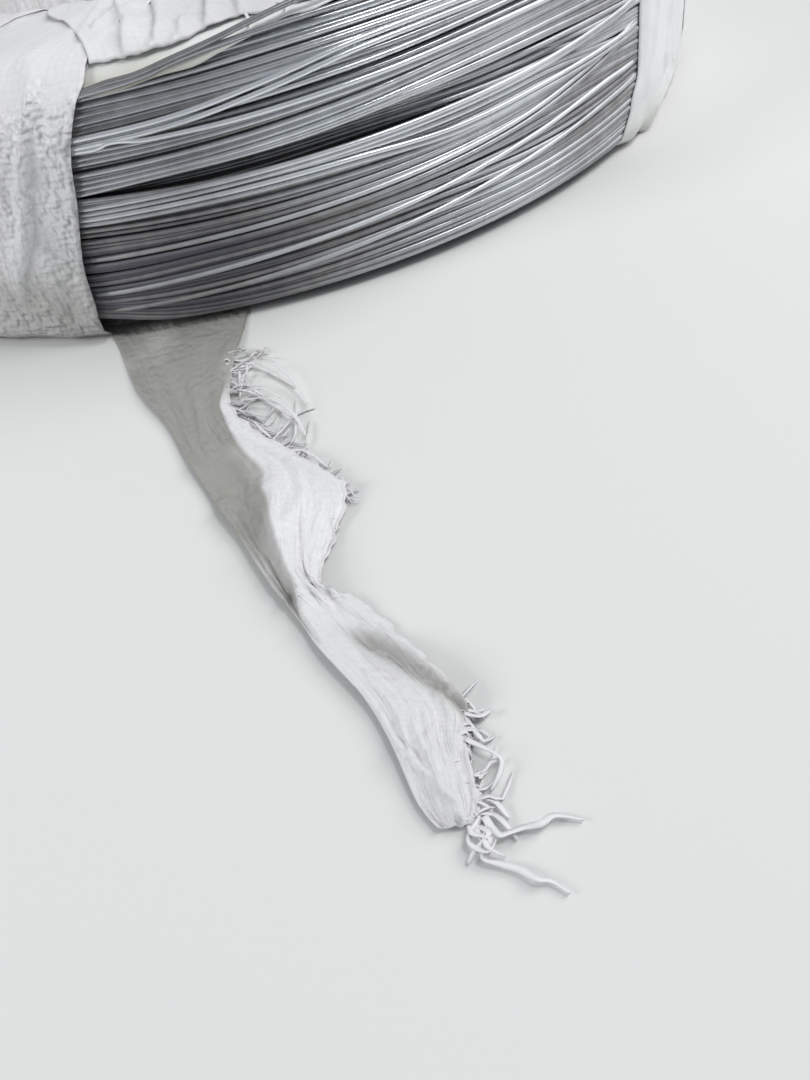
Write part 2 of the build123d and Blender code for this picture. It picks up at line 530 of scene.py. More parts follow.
def kinked_turn(az):
    """The path of the turn with the kink."""
    bend = smooth(-98.6, -97.4, degrees(az)) - smooth(-97.0, -94.5, degrees(az))
    up = level(az, upper_lines[3]) / 1000 + 0.0002 + kink_height * bend
    return outer_r - wire_d / 2 + 0.0004, up, 0.85


lifted_turns = [lifted_turn(*lines, 0.25 + 0.12 * i) for i, lines in enumerate(stray_lines)]
lay_turns("stray_turns", lifted_turns + [kinked_turn], steps=stray_steps)

# Film liner
# Thin milky plastic film lies on the wire under the woven packing. It shows as a smooth
# band at the opening's right end, and as a pale hem along the wires' top edge.
section = Outline(0.0, 0.022, 0.024, 0.006)
round_length = section.length
film_t = 0.00015
film_lift, film_sink = 0.0007, 0.0003


def make_film():
    """Milky film: smooth and glossy, with soft creases and a hint of what lies under it."""
    look = Look("liner_film")
    look.shader.inputs["Roughness"].default_value = 0.28
    look.shader.inputs["Alpha"].default_value = 0.93
    cloud = look.ramp(look.texture(32, Detail=4), [(0.3, 0.84, 0.86, 0.87), (0.75, 0.93, 0.95, 0.97)])
    # Greyed and yellowed where the mesh carries dust and painted shade
    look.put("Base Color", look.mix(look.attribute("dust_and_shade"), cloud, (0.60, 0.59, 0.47, 1)))
    crinkle = look.texture(90, Detail=2, Distortion=1.5)
    look.put("Normal", look.bump(crinkle, 0.0006, 0.5))
    return look.material


film_stuff = film_t, make_film(), "liner_film"


def thicken(piece, thickness, offset):
    """Gives a sheet its wall: half on either side at offset 0, all outside at 1."""
    wall = piece.modifiers.new("wall", "SOLIDIFY")
    wall.thickness = thickness
    wall.offset = offset


def shape_sheet(name, size, cells, place, stuff):
    """A grid of cloth or film, each point laid by place(across, along), both in metres."""
    width, length = size
    thickness, material, slot = stuff
    bm = bmesh.new()
    bmesh.ops.create_grid(bm, x_segments=cells[0], y_segments=cells[1], size=0.5)
    strip_map = bm.loops.layers.uv.new("strip")
    dust_and_shade_of = bm.verts.layers.float.new("dust_and_shade")
    pressed_of = bm.verts.layers.float.new("pressed")
    for face in bm.faces:
        for loop in face.loops:
            x, y, _ = loop.vert.co
            loop[strip_map].uv = ((x + 0.5) * width, (y + 0.5) * length)
    for v in bm.verts:
        x, y, _ = v.co
        v.co, v[dust_and_shade_of], v[pressed_of] = place((x + 0.5) * width, (y + 0.5) * length)
    piece = new_piece(bm, name, material, slot)
    thicken(piece, thickness, 0.0)
    return piece


def fold_rise(az, s, r, folds):
    """How far folds lift a sheet. Each is a line of (azimuth in degrees, distance up the
    section in millimetres), a height, and how far it runs out to the right (minus: left);
    on the other side it drops at once, and painted shade darkens its foot: the second value."""
    az = (degrees(az) + 180) % 360 - 180
    s = ((s + 0.1) % round_length - 0.1) * 1000
    if not (-115 < az < -20 and -60 < s < 140):
        return 0.0, 0.0
    total, fold_shade = 0.0, 0.0
    for line, height, reach in folds:
        if abs(az - line[0][0]) > 9:
            continue
        spots = [Vector((radians(a - az) * r * 1000, b - s)) for a, b in line]
        nearest = Vector((1e3, 0))
        for a, b in zip(spots, spots[1:]):
            run = b - a
            gap = a + run * min(max(-a.dot(run) / run.dot(run), 0.0), 1.0)
            if gap.length < nearest.length:
                nearest = gap
        shallow = nearest.x * reach < 0
        total += height / 1000 * smooth(abs(reach) if shallow else 0.7, 0.0, nearest.length)
        if not shallow:
            fold_shade = max(fold_shade, smooth(3.2, 0.4, nearest.length) * min(height, 1.0))
    return total, fold_shade


def on_ring(r, z, az):
    """The point at a radius, a height and an azimuth."""
    return Vector((r * cos(az), r * sin(az), z))


def eased(x, stops):
    """A value eased between (place, value) stops."""
    for (a, va), (b, vb) in zip(stops, stops[1:]):
        if x <= b:
            return va + (vb - va) * smooth(a, b, x)
    return stops[-1][1]


def packing_drawn_in(az, r):
    """How far film and sleeve are pulled in: in full on the outer side, not on the top."""
    return drawn_in(az) * smooth(0.205, 0.226, r)


# Left edge of the film band, in degrees by height in millimetres
film_edge = [(-46, -49.0), (-42, -48.7), (-39, -48.4), (-28, -46.9), (-17, -45.6), (46, -45.9)]
film_right = radians(-8)
film_low_r, film_top_r = 0.200, 0.190
low_trim = 0.004
film_start = -(section.top_at(film_low_r) - low_trim)
film_length = section.top_at(film_top_r) - film_start
film_width = 0.150

# Folds in the film band, in the form that fold_rise takes
film_folds = [
    ([(-44, -43), (-42.8, -37.5), (-41.2, -33.5), (-38.9, -31.6), (-35, -29)], 2.2, 9),
    ([(-44.2, -24), (-42.4, -8), (-42, 12), (-43.4, 28)], 0.9, 8),
    ([(-38.4, -22), (-37.2, 4), (-38.2, 30)], 1, 10),
]


def lay_film_band(u, v):
    """A point of the band, u from its free left edge and v up from its lower end."""
    s = film_start + v
    r, z = section.at(s)
    left = radians(eased(z * 1000, film_edge))
    share = u / film_width
    az = left + (film_right - left) * share
    fold = max(0.0, 1 - 2.6 * abs(noise(Vector((az * 9 + 0.6 * s / 0.05, s * 5, 3.3))))) ** 2
    soft = 0.5 + 0.5 * noise(Vector((az * 14, s * 14, 8.1)))
    free = smooth(0.0, 0.010, u) * (1 - 0.75 * smooth(0.52, 0.75, share))
    free *= smooth(film_length - 0.020, film_length - 0.032, v)
    rise, _ = fold_rise(az, s, r, film_folds)
    relief = film_sink + 0.0010 * fold + 0.0008 * soft + rise
    r, z = section.at(s, -film_sink + film_lift * smooth(0.0, 0.006, u) + relief * free)
    r -= packing_drawn_in(az, r)
    # Yellowish grey towards the band's bottom
    return on_ring(r, max(z, floor_z + film_t), az), 0.35 * smooth(-0.020, -0.040, z), 0.0


film_band = shape_sheet("film_band", (film_width, film_length), (70, 80), lay_film_band, film_stuff)
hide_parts("film_liner")

# Outer edge of the film's hem over the wires, in millimetres of radius by azimuth
film_hem_stops = [
    (-112, 225), (-98, 224.8), (-94, 224.3), (-90, 223.3), (-86, 221.3), (-82, 218), (-76, 216),
    (-60, 215), (-38, 214),
]
hem_left, hem_right = radians(-111), radians(-38)
hem_middle_r = 0.207
film_hem_width = 0.028
film_hem_length = (hem_right - hem_left) * hem_middle_r


def lay_film_hem(u, v):
    """A point of the hem, u in from its outer edge and v along it; its left end is pinched."""
    az = hem_left + (hem_right - hem_left) * v / film_hem_length
    s_edge = section.top_at(level(az, film_hem_stops) / 1000)
    pinch = 0.0014 * (1 - smooth(-99, -84, degrees(az)))
    ripple = 0.0010 * noise(Vector((az * 30, u * 60, 1.0)))
    edge = smooth(0.012, 0.0, u)
    off = film_lift - film_sink + 0.3 * ripple + 0.0010 * edge - pinch * edge
    r, z = section.at(s_edge + u + 0.0012 * noise(Vector((az * 17, 0, 4))), off)
    # A faint yellowish grey all along, and painted shade along the hem's edge at its pinched left end
    return on_ring(r, z, az), 0.15 + 0.7 * edge * (1 - smooth(-96, -80, degrees(az))), 0.0


film_hem = shape_sheet("film_hem", (film_hem_width, film_hem_length), (12, 130), lay_film_hem, film_stuff)
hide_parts("film_liner")

# Woven sleeve
# A long strip of woven flat plastic tape is wound round the ring through its eye, each
# turn lapping the one before. It is pulled tight, so it creases along its length, and
# more so on the eye side, where the turns crowd together.
strip_width = 0.090
cloth_t = 0.0004
tape_pitch = 0.0026
lap_step = 0.0008
lap_room = 0.0011
sleeve_base = packing_t - lap_room
full_turns = 13
first_turn_az, last_turn_az = radians(-6.9), radians(247.7)
turn_pitch = (last_turn_az - first_turn_az) / full_turns
strip_start, strip_end = -0.30, full_turns + 0.80

# Ends of the turns that were cut open: they stay on the top, the eye side and the bottom
cut_turns = 5
first_cut_az, cut_pitch = radians(-83.8), radians(16.6)


def crest(x, y, seed, sharp):
    """A crease: 1 along wandering lines and falling off beside them."""
    return max(0.0, 1 - sharp * abs(noise(Vector((x, y, seed))))) ** 2


def sleeve_creases(az, s):
    """How far the sleeve stands off the bundle where it creases."""
    share = (s / round_length) % 1.0
    eye_side = smooth(0.34, 0.46, share) * smooth(0.76, 0.60, share)
    x, y = az * 0.185, s
    long_crease = crest((x + 0.10 * y) / 0.017, y / 0.11, 1.5, 3.2)
    fine_crease = crest((x - 0.16 * y) / 0.0085, y / 0.05, 7.5, 2.6)
    facet = 0.5 + 0.5 * noise(Vector((x / 0.035, y / 0.045, 2.5)))
    crease = (0.0011 + 0.0022 * eye_side) * long_crease + (0.0005 + 0.0008 * eye_side) * fine_crease
    return crease + 0.0013 * facet


# Pleats beside the opening, in the form that fold_rise takes: a line of (azimuth in
# degrees, distance up the section in millimetres), a height and a reach
pleats = [
    ([(-98.2, 70), (-97.3, 82), (-96.9, 86), (-97.4, 97), (-98.5, 125)], 1.6, 8),
    ([(-96.9, 86), (-95.9, 74), (-94.9, 62), (-94.6, 45)], 2.4, 12),
    ([(-93.4, 43), (-92.1, 48), (-91.9, 57), (-92.2, 70), (-93.2, 90), (-95, 125)], 2, 9),
    ([(-91.9, 43), (-90.9, 45), (-90.1, 49), (-89.9, 57)], 1.4, 6),
    ([(-88, 45), (-87.7, 55), (-87.3, 72), (-87.6, 120)], 2, 9),
    ([(-85.1, 47), (-84.7, 62), (-84.9, 130)], 1.3, 6),
    ([(-80.6, 44), (-80, 62), (-81.2, 115)], 1.5, 9),
    ([(-76, 44), (-76.6, 80), (-75.6, 125)], 1.2, 7),
    ([(-69.5, 44), (-70.6, 66), (-70, 118)], 1.7, 10),
    ([(-63, 44), (-62.2, 75), (-63.6, 130)], 1.3, 8),
    ([(-54.5, 44), (-55.4, 70), (-54.6, 110)], 1.5, 9),
    ([(-46, 44), (-45, 72), (-46.4, 128)], 1.3, 8),
    ([(-37, 44), (-37.8, 64), (-36.6, 118)], 1.6, 9),
    ([(-28, 44), (-27.2, 70), (-28.6, 112)], 1.3, 8),
    ([(-102.9, 49), (-102.2, 42), (-101.5, 37)], 1.4, -4),
    ([(-101.7, 37), (-102.9, 30), (-103.6, 24), (-104.7, 16), (-105.8, 7), (-107, -3), (-108.4, -10),
      (-110.2, -21)], 2.1, -5.5),
]


def laps(u, pitch_here, turns_before):
    """How many turns lie below the point u across the strip, eased at each edge."""
    total = 0.0
    for j in range(1, min(turns_before, 3) + 1):
        total += smooth(0.0015, -0.0015, u - (strip_width / 2 - j * pitch_here))
    return total


def full_turns_below(az, s, r):
    """How many of the full turns lie below a point of the cut turns."""
    total = 0.0
    for turn in (0, 1, full_turns - 1, full_turns):
        away = (turn_centre(turn + s / round_length) - az + pi) % tau - pi
        total += smooth(strip_width / 2 + 0.0015, strip_width / 2 - 0.0015, abs(away) * r)
    return total


def dust_and_shade_at(az, s, crease):
    """Grey dust in random patches, less where creases stand off, and painted shade with some dust low on the
    outer side.
    """
    patch = noise(Vector((az * 5, s * 9, 21.0)))
    share = (s / round_length) % 1.0
    around = (degrees(az) + 180) % 360 - 180
    # Painted shade with some dust, low on the outer side left of the opening
    low_shade_and_dust = smooth(0.985, 0.915, share) * smooth(0.70, 0.84, share)
    low_shade_and_dust *= smooth(-150, -116, around) * smooth(-60, -95, around)
    return min(max(0.25 + 0.5 * patch - 60 * crease, 0.0), 1.0) + (0.9 + 0.4 * patch) * low_shade_and_dust


# How far the last full turn leans away from an even winding beside the opening, in
# degrees by the distance up from the middle of the outer side in millimetres
last_turn_slack = [
    (-95, 0), (-30, -1), (-15, -1.5), (9, -0.8), (21, -0.6), (28, -0.2), (34, 0), (37, 0.4),
    (44, 0), (60, -0.8), (90, 0),
]


def turn_centre(turn):
    """Azimuth of the strip's middle line after so many turns."""
    az = first_turn_az + turn_pitch * turn
    up = (turn - full_turns) * round_length * 1000
    if last_turn_slack[0][0] < up < last_turn_slack[-1][0]:
        az += radians(curve(up, last_turn_slack))
    return az


def pressed_on(r):
    """How plainly the wires print through: most on the outer side, hardly on the top."""
    return 0.10 + 0.90 * smooth(outer_r - 0.007, outer_r + 0.0005, r)


def lay_sleeve(u, v):
    """A point of the strip, u across it and v along it from where it starts."""
    turn = strip_start + v / round_length
    s = turn * round_length
    u -= strip_width / 2
    az = turn_centre(turn)
    r, z = section.at(s)
    az += u / r
    lap = laps(u, turn_pitch * r, int(turn - strip_start))
    crease = sleeve_creases(az, s) * (1 - 0.75 * smooth(0.30, 0.12, abs(turn)))
    rise, _ = fold_rise(az, s, r, pleats)
    crease += rise
    free_edge = smooth(0.006, 0.0, u + strip_width / 2)
    lift = 0.0007 * free_edge * (1 + 1.5 * noise(Vector((az * 20, s * 25, 5.5))))
    wobble = 0.0016 * noise(Vector((turn * 9, 0.5 if u > 0 else 3.5, 1.0))) * abs(2 * u / strip_width) ** 2
    wobble *= smooth(full_turns - 0.08, full_turns - 0.25, turn)
    r, z = section.at(s, sleeve_base + lap * lap_step + crease + max(lift, 0.0))
    r -= packing_drawn_in(az, r)
    z = max(z, floor_z + cloth_t / 2)
    return on_ring(r, z, az + wobble / r), dust_and_shade_at(az, s, crease), pressed_on(r)


def make_woven():
    """White flat-tape weave: tapes over and under, crumpled, pressed onto the wire."""
    look = Look("woven_strip")
    math, texture = look.math, look.texture
    look.shader.inputs["Roughness"].default_value = 0.42

    # The weave: each cell of it shows the tape that runs up or the one that runs across
    cloth = look.nodes.new("ShaderNodeUVMap")
    cloth.uv_map = "strip"
    tapes = look.nodes.new("ShaderNodeVectorMath")
    tapes.operation = "SCALE"
    tapes.inputs["Scale"].default_value = 1 / tape_pitch
    look.put(0, cloth.outputs["UV"], tapes)
    split = look.add("ShaderNodeSeparateXYZ", {0: tapes.outputs[0]})
    over = []
    for axis, other in (("X", "Y"), ("Y", "X")):
        across = math("ABSOLUTE", math("SINE", math("MULTIPLY", split.outputs[axis], pi)))
        along_it = math("ABSOLUTE", math("SINE", math("MULTIPLY", split.outputs[other], pi)))
        over.append(math("MULTIPLY", math("POWER", across, 0.50), math("POWER", along_it, 0.8)))
    cell = math("ADD", math("FLOOR", split.outputs["X"]), math("FLOOR", split.outputs["Y"]))
    pillow = look.mix(math("FLOORED_MODULO", cell, 2.0), over[0], over[1], kind="FLOAT")

    # Relief: puckers along the strip, the crumple where it is pressed on, and the tapes
    wires = texture(150, kind="ShaderNodeTexWave", Distortion=5.0, Detail=1.0)
    wires.node.bands_direction = "Z"
    lumps = texture(300, Detail=1.0, Roughness=0.4)
    lump_amount = math("MULTIPLY", look.attribute("pressed"), texture(36, Detail=1.0))
    crumple = math("MULTIPLY", math("ADD", lumps, math("MULTIPLY", wires, 0.05)), lump_amount)
    pull = look.add("ShaderNodeMapping", {"Vector": cloth.outputs["UV"], "Scale": (95, 16, 1)})
    pucker = texture(1.0, pull.outputs["Vector"], Detail=3.0, Distortion=1.2)
    normal = look.bump(pucker, 0.0018, 0.6)
    normal = look.bump(crumple, 0.0056, 1.0, normal)
    look.put("Normal", look.bump(pillow, 0.00012, 0.4, normal))

    # Colour: each tape a little lighter or darker, painted shade in the weave's low spots between tapes, and
    # grey where the mesh carries dust and painted shade
    tape_no = look.nodes.new("ShaderNodeTexWhiteNoise")
    tape_no.noise_dimensions = "1D"
    look.put("W", math("FLOOR", split.outputs["X"]), tape_no)
    tape_share = math("ADD", math("MULTIPLY", tape_no.outputs["Value"], 0.4), 0.6)
    weave_and_gap_shade = look.mix(math("MULTIPLY", pillow, tape_share), (0.755, 0.75, 0.76, 1), (0.80, 0.795, 0.80, 1))
    dust_and_shade_mix = math("MULTIPLY", math("MULTIPLY", look.attribute("dust_and_shade"), texture(24, Detail=5.0)), 1.1)
    look.put("Base Color", look.mix(dust_and_shade_mix, weave_and_gap_shade, (0.33, 0.325, 0.30, 1)))
    return look.material


cloth_stuff = cloth_t, make_woven(), "woven_strip"
strip_length = (strip_end - strip_start) * round_length
sleeve_cells = (40, int((strip_end - strip_start) * 62))
sleeve = shape_sheet("wound_strip", (strip_width, strip_length), sleeve_cells, lay_sleeve, cloth_stuff)
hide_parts("woven_sleeve")

# Cut turns of the sleeve
# Along the opening the turns were cut on the outer side. What is left of each lies over
# the top, the eye side and the bottom, with a torn end at the opening's edge.

# Radius of the torn edge in millimetres by azimuth in degrees
cut_hem_stops = [
    (-112, 216), (-98, 218.2), (-95, 217.4), (-92.5, 218.4), (-90, 217), (-86, 214), (-82, 212.5),
    (-20, 212),
]
# How far the first cut turn leans back, in degrees by millimetres up the section
first_cut_slack = [
    (0, 0), (44, 0), (52, 0.6), (69, 2.6), (83, 4.7), (95, 7.8), (125, 9.5), (190, 4), (270, 0),
    (500, 0),
]
cut_edge_r, cut_low_r, cut_middle_r = 0.210, 0.206, 0.213


def cut_turn_layer(j):
    """How one cut turn is laid, from its torn upper end round to its lower end."""

    def lay(u, v):
        side = u - strip_width / 2
        ragged = 0.0008 * noise(Vector((u * 260, j * 3.1, 0.4)))
        ragged += 0.0014 * noise(Vector((u * 55, j * 1.7, 6.0)))
        edge_r = level(first_cut_az + cut_pitch * j + side / cut_edge_r, cut_hem_stops) / 1000
        s0 = section.top_at(edge_r) + ragged
        s1 = round_length - section.top_at(cut_low_r) + low_trim
        s = s0 + (s1 - s0) * v / cut_length
        share = s / round_length
        az = first_cut_az + cut_pitch * (j + share - 0.25)
        if j == 0:
            az -= radians(curve(s * 1000, first_cut_slack))
        r, z = section.at(s)
        az += side / r
        crease = sleeve_creases(az, s) * (0.12 + 0.88 * smooth(0.0, 0.022, v))
        rise, fold_shade = fold_rise(az, s, r, pleats)
        crease += rise * (0.25 + 0.75 * smooth(0.0, 0.010, v))
        curl = 0.0006 * smooth(0.006, 0.0, v) * (0.2 + noise(Vector((u * 45, j, 2.0))))
        layers = laps(side, cut_pitch * r, j) + full_turns_below(az, s, r)
        off = sleeve_base + layers * lap_step + 0.0003 + crease + curl
        r, z = section.at(s, off)
        z = max(z, floor_z + cloth_t / 2)
        # The pleats' feet add painted shade
        return on_ring(r, z, az), dust_and_shade_at(az, s, crease) + 0.5 * fold_shade, pressed_on(r)

    return lay


cut_length = round_length - 2 * section.top_at(cut_middle_r)
for j in range(cut_turns):
    piece = shape_sheet(f"cut_turn_{j + 1}", (strip_width, cut_length), (100, 120), cut_turn_layer(j),
                        cloth_stuff)
    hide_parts("woven_sleeve")

# Loose end of the strip
# The strip's torn end comes out from under the coil and lies on the floor. It is folded
# over along part of its right side, twisted at a neck, and frayed to loose tapes.

# Places of its left and its right edge on the floor, in millimetres from the coil's axis
tail_edges = [
    (-63, -213, -5, -222), (-55, -226, -8, -240), (-45, -260, -11, -254), (-34, -284, -13, -277),
    (-28, -302, -9, -296), (-21, -321, 6, -317), (-17, -332, 18, -334), (-12, -343, 13, -350),
    (-5, -362, 8, -366), (2, -377, 17, -374), (6, -387, 27, -391), (14, -402, 35, -410),
    (18, -414, 33, -418), (21, -428, 33, -430), (24, -434, 31, -435),
]
# Where the fold's ridge lies across the strip, and how high it stands in millimetres,
# by the number of the edge points above
fold_share_stops = [
    (0, 0.95), (2.4, 0.99), (3.6, 0.84), (5, 0.60), (6, 0.41), (7, 0.43), (8, 0.50), (9, 0.08), (14, 0),
]
fold_height_stops = [
    (0, 0), (2.4, 0.8), (3.6, 3.2), (5, 5), (6, 6.5), (7, 6.5), (8, 5.5), (9, 3.5), (10.5, 0.5),
    (14, 0),
]
tail_size = (0.062, 0.245)
tail_left = [Vector((x, y, 0)) / 1000 for x, y, _, _ in tail_edges]
tail_right = [Vector((x, y, 0)) / 1000 for _, _, x, y in tail_edges]


def along(points, t):
    """The point a share t of the way along a smooth line through the points."""
    x = min(max(t, 0.0), 1.0) * (len(points) - 1)
    k = min(int(x), len(points) - 2)
    f = x - k
    a, b = points[max(k - 1, 0)], points[k]
    c, d = points[k + 1], points[min(k + 2, len(points) - 1)]
    bend = 2 * a - 5 * b + 4 * c - d
    swing = 3 * b - a - 3 * c + d
    return 0.5 * (2 * b + (c - a) * f + bend * f * f + swing * f ** 3)


def lay_tail(u, v):
    """A point of the loose end, u across it from the left and v along it from the coil."""
    share, run = u / tail_size[0], v / tail_size[1]
    station = run * (len(tail_edges) - 1)
    ragged = 0.0016 * noise(Vector((run * 70, 3.0, 1.0))) * smooth(0.93, 1.0, share) * smooth(2, 4, station)
    point = along(tail_left, run).lerp(along(tail_right, run), share)
    fold_at = eased(station, fold_share_stops)
    fold_high = eased(station, fold_height_stops)
    if share < fold_at:
        ridge = (share / fold_at) ** 2.2
    else:
        ridge = 1 - smooth(fold_at, fold_at + 0.75, share)
    lift = fold_high * ridge
    lift += 0.9 * smooth(0.12, 0.0, share) * smooth(0.5, 3, station)
    lift += (0.5 + noise(Vector((share * 3.0, run * 9.0, 2.0)))) * 1.3 * smooth(0.4, 2.5, station)
    lift += 1.1 * crest(share * 3.4 + run * 1.5, run * 5.0, 4.0, 3.0) * smooth(0.6, 2.5, station)
    flap = smooth(4.6, 6, station) * smooth(9.4, 8.4, station)
    lift += 1.6 * flap * crest((share - fold_at) * 3.2 - 0.9, run * 2.0, 9.0, 4.0)
    in_valley = share - (0.52 + 0.30 * (station - 9.6))
    valley = smooth(9.2, 10.0, station) * smooth(12.6, 11.6, station)
    lift += valley * (3.6 * hump(in_valley, 0.13, 0.10) - 1.2 * hump(in_valley, 0.0, 0.07))
    lift += 2.4 * sin(pi * min(max(share, 0), 1)) * smooth(9.5, 11, station) * smooth(14.2, 13.0, station)
    second = hump(share, 0.45 * (station - 11.9), 0.06) * smooth(11.8, 12.2, station)
    lift += 1.3 * (second * smooth(13.4, 12.9, station))
    point.x += ragged
    point.z = floor_z + cloth_t / 2 + 0.0001 + max(lift, 0.0) / 1000
    # Painted shade with some dirt: darker near the coil, left of the fold and in the valley, and a little
    # darker past the neck
    under_fold = smooth(0.0, 0.05, fold_at - share) * smooth(9.6, 8.2, station)
    patch = 1.65 + 0.8 * noise(Vector((share * 3, run * 8, 5)))
    shade = 0.10 + 0.20 * smooth(8.5, 10, station) + patch * max(under_fold, smooth(3.4, 2.4, station))
    shade += (0.5 + share) * valley * hump(in_valley, 0.0, 0.10)
    return point, shade, 0.35


strip_tail = shape_sheet("strip_tail", tail_size, (48, 190), lay_tail, cloth_stuff)
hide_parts("strip_tail")

# Frayed tapes
# Where the strip was torn, single flat tapes of the weave have come loose: long curled
# ones that end in a knot, and short ones along every torn edge.
tape_width, tape_t = 0.0015, 0.00025
rng = Random(11)


def new_tapes():
    """An empty bmesh for loose tapes, which carry no dust and no painted shade."""
    bm = bmesh.new()
    bm.loops.layers.uv.new("strip")
    bm.verts.layers.float.new("dust_and_shade")
    return bm


def lay_tape(bm, points, width=tape_width, steps_each=3, twist=0.6):
    """One loose tape laid through the points, turning a little as it goes."""
    uv_of = bm.loops.layers.uv["strip"]
    steps = steps_each * (len(points) - 1)
    verts = bmesh.ops.create_grid(bm, x_segments=1, y_segments=steps, size=0.5)["verts"]
    length = sum((b - a).length for a, b in zip(points, points[1:]))
    phase = rng.uniform(0, tau)
    for v in verts:
        for loop in v.link_loops:
            loop[uv_of].uv = (v.co.x * 0.0004, (v.co.y + 0.5) * length)
    for v in verts:
        t, side = v.co.y + 0.5, v.co.x
        here = along(points, t)
        ahead = (along(points, min(t + 0.02, 1.0)) - along(points, max(t - 0.02, 0.0))).normalized()
        flat = ahead.cross(Vector((0, 0, 1)))
        if flat.length < 0.1:
            flat = Vector((1, 0, 0))
        flat.normalize()
        lean = twist * sin(phase + 5 * t)
        wide = width * (1 - 0.55 * smooth(0.75, 1.0, t))
        v.co = here + (flat * cos(lean) + Vector((0, 0, 1)) * abs(sin(lean))) * side * wide
        v.co.z = max(v.co.z, floor_z + tape_t)


def finish_tapes(bm, name, node):
    """Makes a bmesh of loose tapes a piece as thick as one tape."""
    piece = new_piece(bm, name, *cloth_stuff[1:])
    thicken(piece, tape_t, 1.0)
    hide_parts(node)
    return piece


# Long loose tapes, as places on the floor with a height above it, in millimetres
long_tapes = [
    [(33, -434, 2), (34.5, -438, 2), (37, -438, 1.5), (40, -437.5, 1), (43, -438, 2), (46, -436.6, 1),
     (51, -438.6, 0.6)],
    [(31, -436, 2), (32, -440, 2), (31, -441.6, 1.5), (33.5, -443, 1), (37, -445, 1), (39.5, -447.5, 1.5),
     (42, -448.3, 0.8), (44.5, -451, 0.6)],
    [(33, -417, 2), (36, -420, 2.5), (39, -423, 2), (38, -426, 1.5), (35.5, -428.6, 1)],
    [(34, -411, 2), (37, -412.6, 2), (40, -411, 1)],
    [(34, -430, 1), (36, -431.6, 1), (37.5, -435, 0.6)],
    [(-9, -272, 3), (-3, -268, 5), (3, -272, 5), (8, -281, 3), (11, -291, 1)],
    [(-9, -280, 3), (-3, -281, 4), (3, -286, 2)],
    [(-8, -284, 3), (0, -288, 4), (6, -296, 3), (9, -306, 1)],
    [(-12, -256, 1), (-5, -255, 2), (1, -257, 0.8)],
    [(3, -315, 4), (9, -317, 4), (14, -324, 2)],
    [(-6, -296, 3), (-3, -303, 4), (-1, -306, 3)],
    [(30, -434, 1), (30, -437, 2.5), (33, -439, 3), (31, -441, 2)],
    [(32, -434, 1.5), (29, -438, 2), (32, -441, 2.5), (34, -439, 2)],
    [(31, -435, 1), (33, -438, 3.2), (30, -440, 2), (28, -441.5, 0.6)],
    [(33, -436, 2), (32, -440, 3), (35, -442, 0.8)],
]
bm = new_tapes()
for number, points in enumerate(long_tapes):
    spots = [Vector((x, y, 0)) / 1000 + Vector((0, 0, floor_z + h / 1000 + 0.0002)) for x, y, h in points]
    lay_tape(bm, spots, width=tape_width if number < 2 else 0.7 * tape_width, steps_each=5)

# Short tapes along the torn parts of the tail's right edge: (first and last share of its
# length, how many, longest in millimetres)
short_groups = [(0.13, 0.34, 40, 19), (0.33, 0.44, 40, 9), (0.76, 0.99, 60, 8), (0.44, 0.60, 8, 4)]
for start, end, count, longest in short_groups:
    for i in range(count):
        run = start + (end - start) * (i + rng.random()) / count
        root = along(tail_right, run)
        inside = along(tail_left, run)
        out = (root - inside).normalized()
        forward = (along(tail_right, run + 0.01) - root).normalized()
        aim = (out + forward * rng.uniform(-0.7, 0.9)).normalized()
        reach = longest / 1000 * (0.2 + 0.8 * rng.random() ** 1.6)
        z0 = floor_z + rng.uniform(0.6, 2.2) / 1000
        root -= out * rng.uniform(0.0, 0.004)
        sideways = out.cross(Vector((0, 0, 1))) * rng.uniform(-0.9, 0.9)
        points = [root - out * 0.002 + Vector((0, 0, z0))]
        for t in (0.33, 0.66, 1.0):
            way = aim * t + sideways * t * t + sideways * 0.5 * sin(tau * t + i)
            high = rng.uniform(0.4, 3.0) * (1 - 0.5 * t)
            points.append(root + way * reach + Vector((0, 0, floor_z + high / 1000)))
        lay_tape(bm, points, width=tape_width * rng.uniform(0.3, 0.8), steps_each=2)
tail_tapes = finish_tapes(bm, "tail_tapes", "strip_tail")

# Short tapes along the sleeve's free edge, but not where cut turns lie over it
edge_tapes = 150
bm = new_tapes()
for i in range(edge_tapes):
    v = strip_length * (0.02 + 0.95 * (i + rng.random()) / edge_tapes)
    reach = 0.003 + 0.011 * rng.random() ** 2
    slant = rng.uniform(-0.8, 0.8)
    if v > strip_length - 1.2 * round_length or 0.46 < v / round_length < 1.1:
        continue
    points = []
    for t in (0.0, 0.5, 1.0):
        s = (strip_start + (v + slant * reach * t) / round_length) * round_length
        turn = s / round_length
        r, z = section.at(s)
        az = turn_centre(turn) - (strip_width / 2 + reach * t - 0.002) / r
        crease = sleeve_creases(az, s)
        r, z = section.at(s, sleeve_base + 2.2 * lap_step + crease + 0.0009 + 0.0015 * sin(pi * t))
        points.append(on_ring(r, max(z, floor_z + 0.0005), az))
    lay_tape(bm, points, width=tape_width * rng.uniform(0.4, 0.9), steps_each=2, twist=0.3)

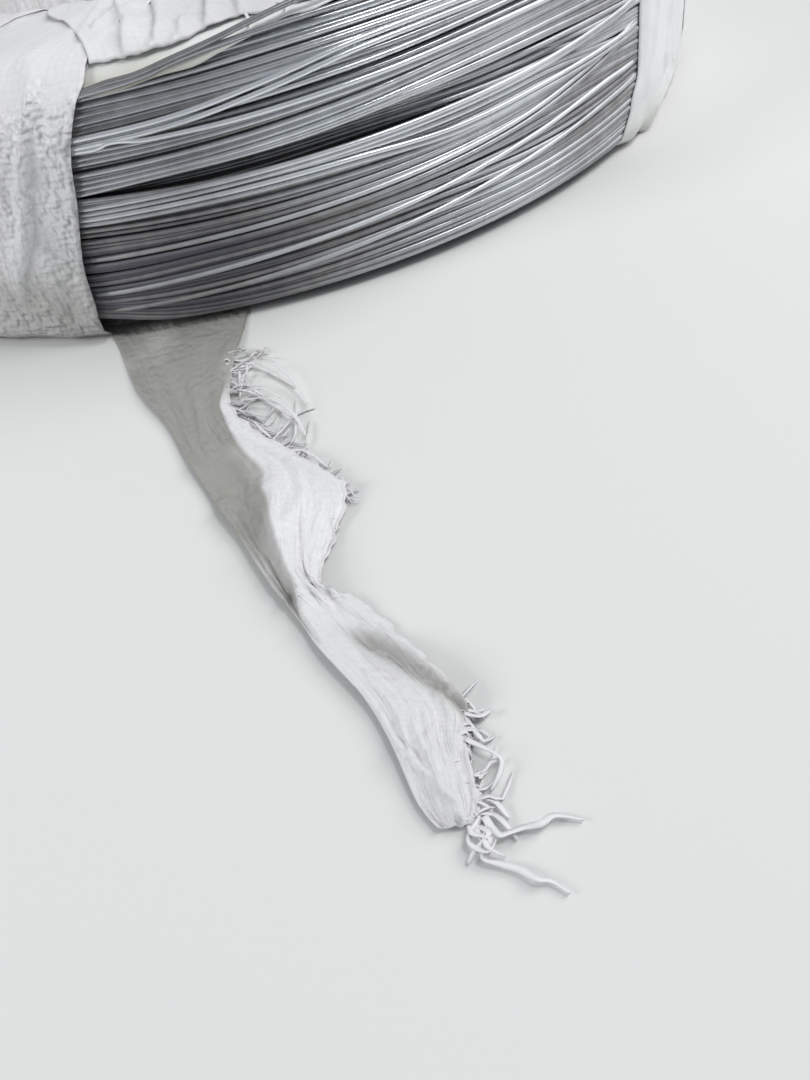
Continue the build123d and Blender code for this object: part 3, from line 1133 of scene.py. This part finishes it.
# Short tapes along the cut turns' torn ends
end_tapes = 26
for i in range(end_tapes):
    az = radians(-86 + 62 * (i + rng.random()) / end_tapes)
    s = section.top_at(level(az, cut_hem_stops) / 1000)
    reach = 0.003 + 0.005 * rng.random() ** 2
    points = []
    for t in (0.0, 0.5, 1.0):
        r, z = section.at(s + 0.002 - reach * t, sleeve_base + 0.0006 + 0.0008 * sin(2.2 * t))
        points.append(on_ring(r, z, az + rng.uniform(-0.006, 0.006)))
    lay_tape(bm, points, width=tape_width * rng.uniform(0.3, 0.7), steps_each=2, twist=0.3)
sleeve_tapes = finish_tapes(bm, "sleeve_tapes", "woven_sleeve")

# Floor, lights and camera
# A plain pale floor under soft studio light, seen from where the photograph was taken.
floor_colour = (0.70, 0.70, 0.69, 1)
bm = bmesh.new()
bmesh.ops.create_grid(bm, x_segments=1, y_segments=1, size=6.0, matrix=Matrix.Translation((0, 0, floor_z)))
floor_look = Look("floor")
floor_look.shader.inputs["Base Color"].default_value = floor_colour
floor_look.shader.inputs["Roughness"].default_value = 0.9
add_mesh(bm, "floor", floor_look.material)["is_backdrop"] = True

world = bpy.data.worlds.new("studio")
scene.world = world
world.use_nodes = True
sky = world.node_tree.nodes["Background"]
sky.inputs["Color"].default_value = (0.76, 0.80, 0.86, 1)
sky.inputs["Strength"].default_value = 0.38


def soft_lamp(name, place, target, width, watts):
    """A square soft box at place, facing target."""
    light = bpy.data.lights.new(name, "AREA")
    light.size = width
    light.energy = watts
    lamp = bpy.data.objects.new(name, light)
    lamp.location = place
    lamp.rotation_euler = (Vector(target) - Vector(place)).to_track_quat("-Z", "Y").to_euler()
    scene.collection.objects.link(lamp)


soft_lamp("window_light", (1.20, 0.05, 1.00), (0.0, -0.15, 0.0), 0.9, 13)
soft_lamp("top_light", (0.62, -0.46, 1.25), (0.05, -0.25, 0.0), 0.4, 6.5)
soft_lamp("left_light", (-1.10, -0.50, 0.62), (-0.05, -0.22, 0.0), 0.5, 7.5)

# The photograph's camera, solved on the lines of the wire: its place in shares of the
# coil's outer radius from the middle of the bundle's underside, and its turn
camera_share = Vector((0.1322, -2.2043, 0.6710))
camera_down = radians(46.0)
camera_roll = radians(-13.3)
focal_px, long_side_px, sensor_mm = 850, 1080, 36

camera_data = bpy.data.cameras.new("camera")
camera_data.sensor_width = sensor_mm
camera_data.lens = focal_px * sensor_mm / long_side_px
camera_data.clip_start = 0.01
camera = bpy.data.objects.new("camera", camera_data)
base = Vector((0, 0, low_corner.z))
aim = Matrix.Rotation(pi / 2 - camera_down, 4, "X") @ Matrix.Rotation(camera_roll, 4, "Z")
camera.matrix_world = Matrix.Translation(base + camera_share * outer_r) @ aim
scene.collection.objects.link(camera)
scene.camera = camera
scene.view_settings.view_transform = "Standard"

dressed_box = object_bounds()
[[list(corner) for corner in box] for box in (cad_box, dressed_box)]
